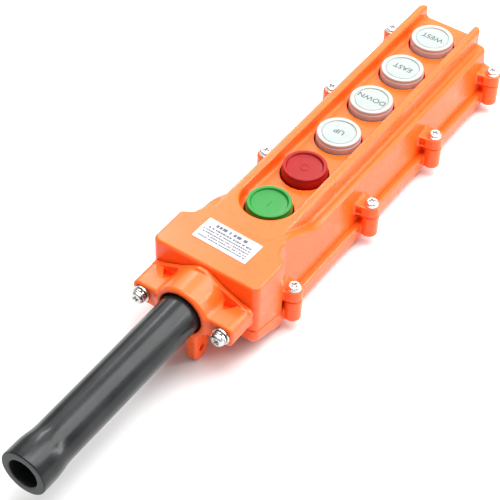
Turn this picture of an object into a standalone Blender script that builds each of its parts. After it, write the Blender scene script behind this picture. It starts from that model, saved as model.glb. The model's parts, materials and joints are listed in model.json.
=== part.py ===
"""Pendant control station: a hand-held, six-button hoist controller.

The station lies on its back.  X is its width, +Y runs from the cable end to
the tip, +Z points out of the button face.  All sizes here are millimetres;
to_scene() turns them into Blender's metres.
"""
import math

import bmesh
import bpy

MM = 0.001
SLIVER = 0.002             # shorter edges are welded
FLAT = 0.0005              # faces bent more than this angle are split

# ---- driving dimensions -------------------------------------------------
GAP = 0.3                  # clearance between neighbouring pieces
PITCH = 34.0               # button spacing along the station
FIRST_BUTTON_Y = 3.8

TIP_Y = 196.3              # far end of the covers
FACE_Y = -55.0             # end face of the head, where the collar is bolted
HEAD_BACK_Y = -31.0        # where the wide head ends
NECK_Y = -18.0             # where the neck reaches the body's width

TOP_Z = 51.0               # top of the head and of both guard ridges
FLOOR_Z = 43.3             # button channel's floor
SHOULDER_Z = 39.3          # lower shoulders outside the ridges
SEAM_Z = 14.6              # bottom edge of the front cover
RIM_BOTTOM_Z = 7.5
UNDER_RISE = 0.38          # climb of the head's underside towards the cable end
SEAM_RISE = 0.24           # climb of the seam there, per millimetre
WALL = 2.8

HEAD_HALF = 32.2           # half widths
BODY_TOP_HALF = 25.6
BODY_SEAM_HALF = 28.0
RIM_HALF = 31.3
RIDGE_OUT = 20.6
CHANNEL_HALF = 15.7
HEAD_CORNER = 4.0          # corner radii seen from above
TIP_CORNER = 4.0

BUTTON_HOLE_R = 13.3
CAP_RIM_R = 12.1
CAP_SKIRT_R = 12.5
CAP_FLANGE_R = 14.4
WHITE_TOP_Z = 48.5
COLOUR_TOP_Z = 49.1

SCREW_X = 34.4             # cover screws
SCREW_YS = (-23.4, 52.9, 121.1, 189.3)
BOSS_R = 4.8
TAB_HALF = 6.1
TAB_POCKET = (28.0, 31.0)  # a cored niche in each tab's face, inner and outer
TAB_TOP_Z = 27.9
TAB_BOTTOM_Z = 21.1
BOSS_BOTTOM_Z = 7.3

CABLE_Z = 32.5             # axis of sleeve and collar
SLEEVE_END_Y = -196.3
SLEEVE_R = 11.6
SLEEVE_MOUTH_R = 12.9
SLEEVE_BORE_R = 8.2
COLLAR_FRONT_Y = -75.2
COLLAR_EAR_Y = -73.7
COLLAR_PLATE = 2.6
COLLAR_BARREL_R = 15.8
COLLAR_BORE_R = 12.6
EAR_X = 24.6
EAR_Z = 31.2
EAR_HALF = (5.9, 6.3)      # an ear's reach past its screw, sideways and up
EAR_CORNER = 3.5
ARCH_R = 17.2
LUG = (3.8, 9.6)           # both sides of the hanging lug
LUG_Y, LUG_Z, LUG_R = -69.6, 6.3, 5.9
LUG_TOP_Z = 21.0
CLAMP_Y = -41.0            # cable clamp inside the head
CLAMP_POST_X = 14.5

BLOCK_HALF = 17.0          # contact blocks, one for each pair of buttons
BLOCK_LENGTH = 61.0
BLOCK_BOTTOM_Z = 3.2
BLOCK_TOP_Z = 24.0
POCKET_R = 8.2
POCKET_FLOOR_Z = 6.0
GUIDE_R = 7.7
GUIDE_Z = 19.0
STEM_R = 3.5

BUTTONS = (                # name, cap material, height of the cap's top
    ("start", "green_button", COLOUR_TOP_Z),
    ("stop", "red_button", COLOUR_TOP_Z),
    ("up", "white_button", WHITE_TOP_Z),
    ("down", "white_button", WHITE_TOP_Z),
    ("east", "white_button", WHITE_TOP_Z),
    ("west", "white_button", WHITE_TOP_Z),
)

MATERIALS = {              # colour, metallic, roughness
    "orange_plastic": ((0.90, 0.21, 0.035), 0.0, 0.38),
    "black_rubber": ((0.03, 0.032, 0.033), 0.0, 0.5),
    "green_button": ((0.03, 0.42, 0.09), 0.0, 0.35),
    "red_button": ((0.55, 0.03, 0.04), 0.0, 0.35),
    "white_button": ((0.78, 0.82, 0.80), 0.0, 0.35),
    "white_label": ((0.85, 0.86, 0.86), 0.0, 0.5),
    "zinc_steel": ((0.62, 0.62, 0.60), 1.0, 0.28),
    "spring_steel": ((0.45, 0.45, 0.46), 1.0, 0.35),
    "contact_brass": ((0.75, 0.55, 0.22), 1.0, 0.35),
    "grey_plastic": ((0.20, 0.21, 0.22), 0.0, 0.5),
    "white_plastic": ((0.75, 0.74, 0.70), 0.0, 0.45),
}


# ---- helpers ------------------------------------------------------------
def clear_scene():
    for item in list(bpy.data.objects):
        bpy.data.objects.remove(item)


def material(name):
    found = bpy.data.materials.get(name)
    if found:
        return found
    colour, metallic, roughness = MATERIALS[name]
    made = bpy.data.materials.new(name)
    made.use_nodes = True
    shader = made.node_tree.nodes["Principled BSDF"]
    shader.inputs["Base Color"].default_value = (*colour, 1.0)
    shader.inputs["Metallic"].default_value = metallic
    shader.inputs["Roughness"].default_value = roughness
    return made


def solid(vertices, faces):
    """A linked object in millimetres with its faces pointing out."""
    bm = bmesh.new()
    corners = [bm.verts.new(v) for v in vertices]
    for face in faces:
        bm.faces.new([corners[i] for i in face])
    bmesh.ops.connect_verts_nonplanar(bm, angle_limit=FLAT, faces=bm.faces)
    bmesh.ops.recalc_face_normals(bm, faces=bm.faces)
    mesh = bpy.data.meshes.new("shape")
    bm.to_mesh(mesh)
    bm.free()
    made = bpy.data.objects.new("shape", mesh)
    bpy.context.collection.objects.link(made)
    return made


def loft(rings):
    """A closed skin through rings that have equal numbers of points."""
    count = len(rings[0])
    vertices = [point for ring in rings for point in ring]
    faces = [tuple(range(count)), tuple(range(len(vertices) - count, len(vertices)))]
    for k in range(len(rings) - 1):
        for i in range(count):
            j = (i + 1) % count
            a, b = k * count, (k + 1) * count
            faces.append((a + i, a + j, b + j, b + i))
    return solid(vertices, faces)


def along(axis, pair, depth):
    """A 3-D point from two in-plane coordinates and one along the axis."""
    a, b = pair
    return {"x": (depth, a, b), "y": (a, depth, b), "z": (a, b, depth)}[axis]


def prism(outline, low, high, axis="z"):
    return loft([[along(axis, p, depth) for p in outline] for depth in (low, high)])


def box(low, high):
    (x0, y0, z0), (x1, y1, z1) = low, high
    return prism([(x0, y0), (x1, y0), (x1, y1), (x0, y1)], z0, z1)


def arc(centre, radius, start, end, steps):
    """Points on an arc; the angles are in degrees."""
    points = []
    for i in range(steps + 1):
        angle = math.radians(start + (end - start) * i / steps)
        points.append((centre[0] + radius * math.cos(angle),
                       centre[1] + radius * math.sin(angle)))
    return points


def circle(centre, radius, sides):
    return arc(centre, radius, 0, 360 - 360 / sides, sides - 1)


def cylinder(centre, radius, low, high, axis="z", sides=24):
    return prism(circle(centre, radius, sides), low, high, axis)


def turned(profile, sides, axis="z", centre=(0.0, 0.0)):
    """A ring turned from a closed profile of (radius, depth) points."""
    count = len(profile)
    vertices = []
    for k in range(sides):
        angle = 2 * math.pi * k / sides
        for radius, depth in profile:
            pair = (centre[0] + radius * math.cos(angle),
                    centre[1] + radius * math.sin(angle))
            vertices.append(along(axis, pair, depth))
    faces = []
    for k in range(sides):
        for i in range(count):
            j = (i + 1) % count
            a, b = k * count, ((k + 1) % sides) * count
            faces.append((a + i, a + j, b + j, b + i))
    return solid(vertices, faces)


def capped(profile, sides, axis="z", centre=(0.0, 0.0)):
    """A solid turned from (radius, depth) points; both ends lie on the axis."""
    first, last = profile[0][1], profile[-1][1]
    vertices = [along(axis, centre, first), along(axis, centre, last)]
    for radius, depth in profile[1:-1]:
        vertices += [along(axis, p, depth) for p in circle(centre, radius, sides)]
    rows = len(profile) - 2
    faces = []
    for i in range(sides):
        j = (i + 1) % sides
        faces.append((0, 2 + j, 2 + i))
        end = 2 + (rows - 1) * sides
        faces.append((1, end + i, end + j))
        for k in range(rows - 1):
            a, b = 2 + k * sides, 2 + (k + 1) * sides
            faces.append((a + i, a + j, b + j, b + i))
    return solid(vertices, faces)


def stacked(profile, sides, axis="z", centre=(0.0, 0.0)):
    """A solid bar turned from (radius, depth) points, with flat ends."""
    rings = []
    for radius, depth in profile:
        rings.append([along(axis, p, depth) for p in circle(centre, radius, sides)])
    return loft(rings)


def tidy(shape):
    """Weld the hair-thin slivers that a Boolean can leave."""
    bm = bmesh.new()
    bm.from_mesh(shape.data)
    bmesh.ops.remove_doubles(bm, verts=bm.verts, dist=SLIVER)
    bm.to_mesh(shape.data)
    bm.free()


def combine(base, tool, operation):
    modifier = base.modifiers.new(operation, "BOOLEAN")
    modifier.operation = operation
    modifier.solver = "EXACT"
    modifier.object = tool
    depsgraph = bpy.context.evaluated_depsgraph_get()
    result = bpy.data.meshes.new_from_object(base.evaluated_get(depsgraph))
    base.modifiers.clear()
    base.data = result
    bpy.data.objects.remove(tool)
    tidy(base)
    return base


def add(base, tool):
    return combine(base, tool, "UNION")


def cut(base, tool):
    return combine(base, tool, "DIFFERENCE")


def to_scene(name, shape, material_name, origin=(0.0, 0.0, 0.0)):
    """Name a finished shape, give it its material and move its origin."""
    shape.name = name
    mesh = shape.data
    mesh.name = name
    for vertex in mesh.vertices:
        vertex.co = [(vertex.co[i] - origin[i]) * MM for i in range(3)]
    shape.location = [value * MM for value in origin]
    mesh.materials.clear()
    mesh.materials.append(material(material_name))
    mesh.shade_smooth()
    mesh.set_sharp_from_angle(angle=math.radians(35))
    return shape


def corner_inset(distance, radius):
    """How far a rounded corner pulls a side in, this far from its end."""
    if distance >= radius:
        return 0.0
    return radius - math.sqrt(radius ** 2 - (radius - distance) ** 2)


def eased(value):
    value = min(1.0, max(0.0, value))
    return value * value * (3.0 - 2.0 * value)


# ---- outlines shared by the covers --------------------------------------
def head_blend(y):
    """1 on the wide head, 0 on the body, with a quick then a slow taper."""
    quick = 1.0 - eased((y - HEAD_BACK_Y) / 4.5)
    slow = 1.0 - eased((y - HEAD_BACK_Y) / (NECK_Y - HEAD_BACK_Y))
    return 0.65 * quick + 0.35 * slow


def half_width(y, body_half, inset=0.0):
    """Half width of a cover at y, its corners rounded at both ends."""
    width = body_half + (HEAD_HALF - body_half) * head_blend(y) - inset
    width -= corner_inset(y - (FACE_Y + inset), HEAD_CORNER)
    width -= corner_inset((TIP_Y - inset) - y, TIP_CORNER)
    return width


def plan_outline(body_half, inset):
    """A cover's outline seen from above, pulled in by inset."""
    start, end = FACE_Y + inset, TIP_Y - inset
    stations = [start, start + 0.6, start + 1.8, start + HEAD_CORNER]
    stations += [HEAD_BACK_Y, HEAD_BACK_Y + 1.5, HEAD_BACK_Y + 3.0, HEAD_BACK_Y + 4.5]
    stations += [-22.0, NECK_Y]
    stations += [end - TIP_CORNER, end - 1.8, end - 0.6, end]
    right = [(half_width(y, body_half, inset), y) for y in stations]
    return right + [(-x, y) for x, y in reversed(right)]


def head_rise(y, z):
    """How far the head's underside and seam climb towards the cable end."""
    share = min(1.0, max(0.0, z / SEAM_Z))
    return max(0.0, HEAD_BACK_Y - y) * (UNDER_RISE + (SEAM_RISE - UNDER_RISE) * share)


def level(body_half, inset, z):
    """A cover's outline at height z, climbing with the head."""
    return [(x, y, z + head_rise(y, z)) for x, y in plan_outline(body_half, inset)]


# ---- covers -------------------------------------------------------------
def shoulder_height(y):
    """The shoulders ramp down from the head's top to their own level."""
    ramp = eased((y + 18.2) / 32.0)
    return TOP_Z + (SHOULDER_Z - TOP_Z) * ramp


def front_ring(y):
    """Cross-section of the front cover's outside at y."""
    shoulder = shoulder_height(y)
    side_top = half_width(y, BODY_TOP_HALF)
    side_bottom = half_width(y, BODY_SEAM_HALF)
    drop = min(0.8, TOP_Z - shoulder)
    right = [
        (side_bottom, y, SEAM_Z + head_rise(y, SEAM_Z)),
        (side_top + 0.2, y, shoulder - 2.0),
        (side_top - 0.5, y, shoulder - 0.6),
        (side_top - 1.6, y, shoulder - 0.1),
        (RIDGE_OUT + 0.3, y, shoulder),
        (RIDGE_OUT, y, TOP_Z - drop),
        (RIDGE_OUT - 0.8, y, TOP_Z),
    ]
    return right + [(-x, y, z) for x, y, z in reversed(right)]


def front_outside():
    """The front cover's outer form with its eight screw tabs."""
    stations = [FACE_Y, FACE_Y + 0.6, FACE_Y + 1.8, FACE_Y + HEAD_CORNER]
    stations += [HEAD_BACK_Y, HEAD_BACK_Y + 1.5, HEAD_BACK_Y + 3.0, HEAD_BACK_Y + 4.5]
    stations += [-22.0, NECK_Y, -14.0, -9.0, -4.0, 1.0, 6.0, 10.0, 14.0]
    stations += [TIP_Y - TIP_CORNER, TIP_Y - 1.8, TIP_Y - 0.6, TIP_Y]
    outside = loft([front_ring(y) for y in stations])
    for side in (-1, 1):
        for y in SCREW_YS:
            add(outside, prism(tab_outline(side, y), TAB_BOTTOM_Z, TAB_TOP_Z))
    return outside


def hollow_front(shell):
    """Cut the three stepped cavities under the covers' top."""
    low = [(x, y, SEAM_Z - 1.0) for x, y in plan_outline(BODY_SEAM_HALF, WALL)]
    high = [(x, y, 36.4) for x, y in plan_outline(BODY_TOP_HALF, WALL)]
    cut(shell, loft([low, high]))
    start, end = FACE_Y + WALL + 0.5, TIP_Y - WALL - 0.5
    cut(shell, box((-18.0, start + 0.5, 30.0), (18.0, end, FLOOR_Z - 2.7)))
    cut(shell, box((-27.5, start, 31.0), (27.5, HEAD_BACK_Y - 2.0, TOP_Z - WALL)))


def channel_cutter():
    """The button channel: a round start and an open far end."""
    start = arc((0.0, FIRST_BUTTON_Y), CHANNEL_HALF, 180, 360, 14)
    outline = start + [(CHANNEL_HALF, TIP_Y + 5.0), (-CHANNEL_HALF, TIP_Y + 5.0)]
    return prism(outline, FLOOR_Z, TOP_Z + 5.0)


def tab_outline(side, y):
    """A screw tab seen from above: wide at the wall, round at the screw."""
    tip = arc((SCREW_X, y), BOSS_R, -80, 80, 8)
    outline = [(25.3, y - TAB_HALF), (29.5, y - TAB_HALF + 0.3)] + tip
    outline += [(29.5, y + TAB_HALF - 0.3), (25.3, y + TAB_HALF)]
    return [(side * x, v) for x, v in outline]


def front_cover():
    cover = front_outside()
    hollow_front(cover)
    cut(cover, channel_cutter())
    for side in (-1, 1):
        for y in SCREW_YS:
            cut(cover, cylinder((side * SCREW_X, y), 2.4, 15.0, 35.0, sides=12))
            inner, outer = sorted(side * x for x in TAB_POCKET)
            cut(cover, box((inner, y - TAB_HALF - 2.0, TAB_BOTTOM_Z + 1.2),
                           (outer, y - TAB_HALF + 2.2, TAB_TOP_Z - 1.2)))
    for i in range(len(BUTTONS)):
        hole = cylinder((0.0, FIRST_BUTTON_Y + i * PITCH), BUTTON_HOLE_R, 38.0, 46.0,
                        sides=32)
        cut(cover, hole)
    cut(cover, cylinder((0.0, CABLE_Z), 9.0, FACE_Y - 1.0, FACE_Y + 8.0, "y", 32))
    for side in (-1, 1):
        post = cylinder((side * EAR_X, EAR_Z), 4.4, FACE_Y + 1.0, FACE_Y + 12.0, "y", 16)
        add(cover, post)
        thread = cylinder((side * EAR_X, EAR_Z), 2.35, FACE_Y - 1.0, FACE_Y + 10.5, "y", 16)
        cut(cover, thread)
    pocket = box((-17.3, -42.8, TOP_Z - 0.7), (17.3, -26.4, TOP_Z + 1.0))
    cut(cover, pocket)
    return to_scene("front_cover", cover, "orange_plastic")


def seam_ring(outer, inner, low, high):
    """A band that follows the seam between two insets."""
    ring = loft([level(BODY_SEAM_HALF, outer, low), level(BODY_SEAM_HALF, outer, high)])
    core = [level(BODY_SEAM_HALF, inner, z) for z in (low - 1.5, high + 1.5)]
    return cut(ring, loft(core))


def rear_cover():
    """A shallow tub with a proud rim, eight screw bosses and two clamp posts."""
    rim_top = SEAM_Z - GAP
    steps = ((0.0, 6.5), (0.9, 3.9), (2.6, 1.8), (4.8, 0.6), (RIM_BOTTOM_Z, 0.0),
             (rim_top - 0.8, 0.0), (rim_top, 0.8))
    tub = loft([level(RIM_HALF, inset, z) for z, inset in steps])
    cut(tub, loft([level(RIM_HALF, 7.5, 2.9), level(BODY_SEAM_HALF, WALL, rim_top + 1.0)]))
    cut(tub, seam_ring(0.6, 2.2, rim_top - 1.2, rim_top + 1.0))
    for side in (-1, 1):
        for y in SCREW_YS:
            centre = (side * SCREW_X, y)
            add(tub, cylinder(centre, BOSS_R, BOSS_BOTTOM_Z, TAB_BOTTOM_Z - GAP, sides=18))
            cut(tub, cylinder(centre, 2.3, 10.0, TAB_BOTTOM_Z + 1.0, sides=10))
        add(tub, cylinder((side * CLAMP_POST_X, CLAMP_Y), 3.2, 5.15, 22.0, sides=14))
        cut(tub, cylinder((side * CLAMP_POST_X, CLAMP_Y), 1.8, 12.0, 23.0, sides=12))
    return to_scene("rear_cover", tub, "orange_plastic")


def cover_gasket():
    ring = seam_ring(0.9, 1.9, SEAM_Z - GAP - 0.9, SEAM_Z - GAP)
    return to_scene("cover_gasket", ring, "black_rubber")


def label_plate():
    plate = box((-16.9, -42.4, TOP_Z - 0.4), (16.9, -26.8, TOP_Z + 0.1))
    return to_scene("label_plate", plate, "white_label")


# ---- cable entry --------------------------------------------------------
def ear_corners():
    """Centres of an ear's two rounded outer corners, the lower one first."""
    x, reach = EAR_X + EAR_HALF[0] - EAR_CORNER, EAR_HALF[1] - EAR_CORNER
    return (x, EAR_Z - reach), (x, EAR_Z + reach)


def ear_outline(side):
    """A rounded square round one collar screw, run on into the barrel."""
    low, high = ear_corners()
    outline = arc(low, EAR_CORNER, -90, 0, 4) + arc(high, EAR_CORNER, 0, 90, 4)
    outline += [(2.0, EAR_Z + EAR_HALF[1]), (2.0, EAR_Z - EAR_HALF[1])]
    return [(side * x, z) for x, z in outline]


def flank_angle(corner):
    """Where a straight flank leaves the arch for an ear's corner, in degrees."""
    x, z = corner[0], abs(corner[1] - CABLE_Z)
    spread = math.acos((ARCH_R - EAR_CORNER) / math.hypot(x, z))
    return math.degrees(math.atan2(z, x) + spread)


def plate_outline():
    """The collar's plate: an arch whose straight flanks run to the ears."""
    low, high = ear_corners()
    below, above = flank_angle(low), flank_angle(high)
    right = arc((0.0, CABLE_Z), ARCH_R, -90, -below, 4)
    right += arc(low, EAR_CORNER, -below, 0, 4) + arc(high, EAR_CORNER, 0, above, 4)
    right += arc((0.0, CABLE_Z), ARCH_R, above, 90, 5)
    return right + [(-x, z) for x, z in reversed(right[1:-1])]


def ear_pit(side, plate_front):
    """A cored pit in an ear's top: three-sided, deepest against the plate."""
    rings = []
    for z, half, reach in ((EAR_Z + 1.8, 3.4, 1.0), (EAR_Z + 7.0, 4.4, 5.8)):
        rings.append([(side * (18.5 - half), plate_front, z),
                      (side * (18.5 + half), plate_front, z),
                      (side * 18.5, plate_front - reach, z)])
    return loft(rings)


def cable_collar():
    plate_back = FACE_Y - GAP
    plate_front = plate_back - COLLAR_PLATE
    collar = prism(plate_outline(), plate_front, plate_back, "y")
    nose = ((COLLAR_BARREL_R, plate_back - 1.0), (COLLAR_BARREL_R, COLLAR_FRONT_Y + 1.8),
            (COLLAR_BARREL_R - 0.6, COLLAR_FRONT_Y + 0.5), (COLLAR_BARREL_R - 1.9, COLLAR_FRONT_Y))
    add(collar, stacked(nose, 40, "y", (0.0, CABLE_Z)))
    for side in (-1, 1):
        add(collar, prism(ear_outline(side), COLLAR_EAR_Y, plate_back - 1.0, "y"))
        cut(collar, ear_pit(side, plate_front))
    lug = [(LUG_Y + LUG_R, LUG_TOP_Z), (LUG_Y - LUG_R, LUG_TOP_Z)]
    lug += arc((LUG_Y, LUG_Z), LUG_R, 180, 360, 12)
    add(collar, prism(lug, *LUG, "x"))
    cut(collar, cylinder((LUG_Y + 0.4, LUG_Z + 1.3), 2.0, LUG[0] - 2.0, LUG[1] + 2.0, "x", 16))
    cut(collar, cylinder((0.0, CABLE_Z), COLLAR_BORE_R, COLLAR_FRONT_Y - 2.0, FACE_Y + 1.0, "y", 40))
    cut(collar, cylinder((0.0, CABLE_Z), 14.8, plate_back - 3.8, FACE_Y + 1.0, "y", 40))
    for side in (-1, 1):
        cut(collar, cylinder((side * EAR_X, EAR_Z), 2.5, -80.0, FACE_Y + 1.0, "y", 16))
    return to_scene("cable_collar", collar, "orange_plastic")


def cable_sleeve():
    """A rubber bend sleeve with a wider mouth and a flange under the collar."""
    root = FACE_Y - 2 * GAP
    profile = (
        (SLEEVE_BORE_R, root), (14.4, root), (14.4, root - 2.9), (12.2, root - 3.2),
        (SLEEVE_R, root - 6.0), (SLEEVE_R, SLEEVE_END_Y + 20.0),
        (SLEEVE_R + 0.4, SLEEVE_END_Y + 17.5), (SLEEVE_MOUTH_R - 0.3, SLEEVE_END_Y + 15.0),
        (SLEEVE_MOUTH_R, SLEEVE_END_Y + 12.5), (SLEEVE_MOUTH_R, SLEEVE_END_Y + 0.9),
        (SLEEVE_MOUTH_R - 0.8, SLEEVE_END_Y), (SLEEVE_BORE_R + 0.6, SLEEVE_END_Y),
        (SLEEVE_BORE_R, SLEEVE_END_Y + 0.8),
    )
    sleeve = turned(profile, 32, "y", (0.0, CABLE_Z))
    return to_scene("cable_sleeve", sleeve, "black_rubber")


def cable_clamp():
    """A saddle over the cable inside the head."""
    clamp = cylinder((0.0, CABLE_Z), 10.8, CLAMP_Y - 4.0, CLAMP_Y + 4.0, "y", 32)
    cut(clamp, box((-20.0, CLAMP_Y - 9.0, 10.0), (20.0, CLAMP_Y + 9.0, 22.3)))
    add(clamp, box((-18.5, CLAMP_Y - 4.01, 22.3), (18.5, CLAMP_Y + 4.01, 25.0)))
    add(clamp, box((-10.8, CLAMP_Y - 4.0, 24.0), (10.8, CLAMP_Y + 4.0, CABLE_Z)))
    cut(clamp, cylinder((0.0, CABLE_Z), 8.0, CLAMP_Y - 6.0, CLAMP_Y + 6.0, "y", 32))
    cut(clamp, box((-8.0, CLAMP_Y - 6.0, 10.0), (8.0, CLAMP_Y + 6.0, CABLE_Z)))
    return clamp


# ---- fasteners ----------------------------------------------------------
def cross_recess(centre, low, high, reach, half, axis="z"):
    """Two crossed slots, the recess of a Phillips head."""
    a, b = centre
    arm = [(a - reach, b - half), (a + reach, b - half), (a + reach, b + half),
           (a - reach, b + half)]
    other = [(a - half, b - reach), (a + half, b - reach), (a + half, b + reach),
             (a - half, b + reach)]
    cross = prism(arm, low, high, axis)
    return add(cross, prism(other, low, high, axis))


def pan_screw(name, centre, seat, head, tip, axis, sizes, origin):
    """A pan-head screw from its seat; head and tip are signed lengths."""
    head_r, shank_r, recess = sizes
    profile = ((shank_r - 0.5, seat + tip), (shank_r, seat + tip - 0.06 * tip),
               (shank_r, seat), (head_r, seat), (head_r, seat + 0.55 * head),
               (head_r * 0.84, seat + 0.88 * head), (head_r * 0.5, seat + head))
    screw = stacked(profile, 12, axis, centre)
    low, high = sorted((seat + 0.45 * head, seat + 2.0 * head))
    cut(screw, cross_recess(centre, low, high, recess, recess * 0.27, axis))
    return to_scene(name, screw, "zinc_steel", origin)


def cover_screws():
    seat = TAB_TOP_Z + GAP
    for side, word in ((-1, "left"), (1, "right")):
        for number, y in enumerate(SCREW_YS, 1):
            centre = (side * SCREW_X, y)
            pan_screw(f"cover_screw_{word}_{number}", centre, seat, 2.4, -16.0, "z",
                      (4.0, 1.95, 2.1), (*centre, seat))


def collar_fasteners():
    for side, word in ((-1, "left"), (1, "right")):
        centre = (side * EAR_X, EAR_Z)
        face = COLLAR_EAR_Y - GAP
        origin = (centre[0], face, centre[1])
        washer = turned(((2.3, face), (5.0, face), (5.0, face - 1.0), (2.3, face - 1.0)),
                        20, "y", centre)
        to_scene(f"flat_washer_{word}", washer, "zinc_steel", origin)
        face -= 1.0 + GAP
        spring = turned(((2.3, face), (4.0, face), (4.0, face - 1.2), (2.3, face - 1.2)),
                        20, "y", centre)
        low, high = sorted((centre[0] - 0.5, centre[0] + 0.5))
        split = prism([(low, EAR_Z + 1.0), (high, EAR_Z + 1.0), (high, EAR_Z + 6.0),
                       (low, EAR_Z + 6.0)], face - 3.0, face + 3.0, "y")
        cut(spring, split)
        to_scene(f"spring_washer_{word}", spring, "zinc_steel", origin)
        face -= 1.2 + GAP
        pan_screw(f"collar_screw_{word}", centre, face, -3.0, 26.0, "y",
                  (3.9, 1.95, 2.1), (centre[0], face, centre[1]))


def clamp_pieces():
    clamp = cable_clamp()
    for side in (-1, 1):
        cut(clamp, cylinder((side * CLAMP_POST_X, CLAMP_Y), 1.9, 20.0, 27.0, sides=12))
    to_scene("cable_clamp", clamp, "grey_plastic")
    for side, word in ((-1, "left"), (1, "right")):
        centre = (side * CLAMP_POST_X, CLAMP_Y)
        pan_screw(f"clamp_screw_{word}", centre, 25.3, 2.0, -12.0, "z",
                  (3.0, 1.45, 1.5), (*centre, 25.3))


# ---- buttons and contacts -----------------------------------------------
def button_cap(name, look, top, y):
    """A dished cap with a raised rim, a stepped skirt and a stop flange."""
    under = top - 2.6
    if look == "white_button":
        face = ((0.0, top - 0.5), (9.3, top - 0.5), (9.9, top - 0.1), (11.4, top))
    else:
        face = ((0.0, top - 1.6), (7.5, top - 1.5), (9.6, top - 1.1), (10.2, top))
    rim = ((CAP_RIM_R, top - 0.5), (CAP_RIM_R, top - 2.2), (CAP_SKIRT_R, top - 2.6),
           (CAP_SKIRT_R, 38.9), (CAP_FLANGE_R, 38.9), (CAP_FLANGE_R, 37.4), (10.6, 37.4),
           (10.6, under), (0.0, under))
    cap = capped(face + rim, 24, "z", (0.0, y))
    return to_scene(f"{name}_button_cap", cap, look, (0.0, y, top))


def plunger(name, top, y):
    """The stem under a cap, with its guide disc in the contact block."""
    head = top - 2.6 - GAP
    profile = ((2.2, 15.5), (3.0, 15.9), (3.0, GUIDE_Z), (GUIDE_R, GUIDE_Z),
               (GUIDE_R, GUIDE_Z + 2.6), (STEM_R, GUIDE_Z + 2.6), (STEM_R, head - 3.0),
               (6.0, head - 1.8), (6.0, head))
    stem = stacked(profile, 14, "z", (0.0, y))
    return to_scene(f"{name}_plunger", stem, "white_plastic", (0.0, y, head))


def return_spring(name, y):
    """A coil spring between the block's pocket floor and the guide disc."""
    wire, mean, turns, steps, sides = 0.6, 5.0, 4, 9, 4
    low = POCKET_FLOOR_Z + GAP + wire
    high = GUIDE_Z - GAP - wire
    count = turns * steps
    rise = (high - low) / (2 * math.pi * turns)
    slope = math.atan2(rise, mean)
    rings = []
    for i in range(count + 1):
        angle = 2 * math.pi * i / steps
        z = low + (high - low) * i / count
        outward = (math.cos(angle), math.sin(angle))
        ring = []
        for k in range(sides):
            turn = 2 * math.pi * k / sides
            out, up = wire * math.cos(turn), wire * math.sin(turn)
            back = -up * math.sin(slope)
            ring.append((outward[0] * (mean + out) - outward[1] * back,
                         y + outward[1] * (mean + out) + outward[0] * back,
                         z + up * math.cos(slope)))
        rings.append(ring)
    return to_scene(f"{name}_return_spring", loft(rings), "spring_steel",
                    (0.0, y, POCKET_FLOOR_Z))


def contact_bridge(name, y):
    """The moving contact, a brass bar round the stem on the guide disc."""
    low = GUIDE_Z + 2.6 + GAP
    bar = cylinder((0.0, y), 5.4, low, low + 0.8, sides=14)
    add(bar, box((-7.2, y - 2.2, low + 0.0), (7.2, y + 2.2, low + 0.8)))
    cut(bar, cylinder((0.0, y), STEM_R + GAP, low - 1.0, low + 2.0, sides=14))
    return to_scene(f"{name}_contact_bridge", bar, "contact_brass", (0.0, y, low))


def button_seal(name, y):
    top = FLOOR_Z - 2.7 - GAP
    profile = ((CAP_SKIRT_R + 0.35, top), (15.4, top), (15.4, top - 1.0),
               (CAP_SKIRT_R + 0.35, top - 1.0))
    ring = turned(profile, 20, "z", (0.0, y))
    return to_scene(f"{name}_button_seal", ring, "black_rubber")


def contact_block(number, y):
    """Moulded block with a round pocket for each of its two plungers."""
    half = BLOCK_LENGTH / 2
    block = box((-BLOCK_HALF, y - half, BLOCK_BOTTOM_Z), (BLOCK_HALF, y + half, BLOCK_TOP_Z))
    for step in (-0.5, 0.5):
        pocket = cylinder((0.0, y + step * PITCH), POCKET_R, POCKET_FLOOR_Z,
                          BLOCK_TOP_Z + 1.0, sides=20)
        cut(block, pocket)
        for side in (-1, 1):
            for shift in (-8.0, 0.0, 8.0):
                place = y + step * PITCH + shift
                low, high = sorted((side * 13.5, side * 18.0))
                cut(block, box((low, place - 2.8, 15.0), (high, place + 2.8, 26.0)))
    return to_scene(f"contact_block_{number}", block, "grey_plastic")


def build_buttons():
    for i, (name, look, top) in enumerate(BUTTONS):
        y = FIRST_BUTTON_Y + i * PITCH
        button_cap(name, look, top, y)
        plunger(name, top, y)
        return_spring(name, y)
        contact_bridge(name, y)
        button_seal(name, y)
    for number in range(len(BUTTONS) // 2):
        contact_block(number + 1, FIRST_BUTTON_Y + (2 * number + 0.5) * PITCH)


def main():
    clear_scene()
    front_cover()
    rear_cover()
    cover_gasket()
    label_plate()
    cable_collar()
    cable_sleeve()
    cover_screws()
    collar_fasteners()
    clamp_pieces()
    build_buttons()


main()
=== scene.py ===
"""Visual model of the pendant control station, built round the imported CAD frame.

Moulded covers and the collar are written as distance fields in millimetres and
skinned, so every edge and joint has the soft radius of a moulding.
"""
import json
import math

import bmesh
import bpy
import numpy as np
from mathutils import Matrix, Vector


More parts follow.
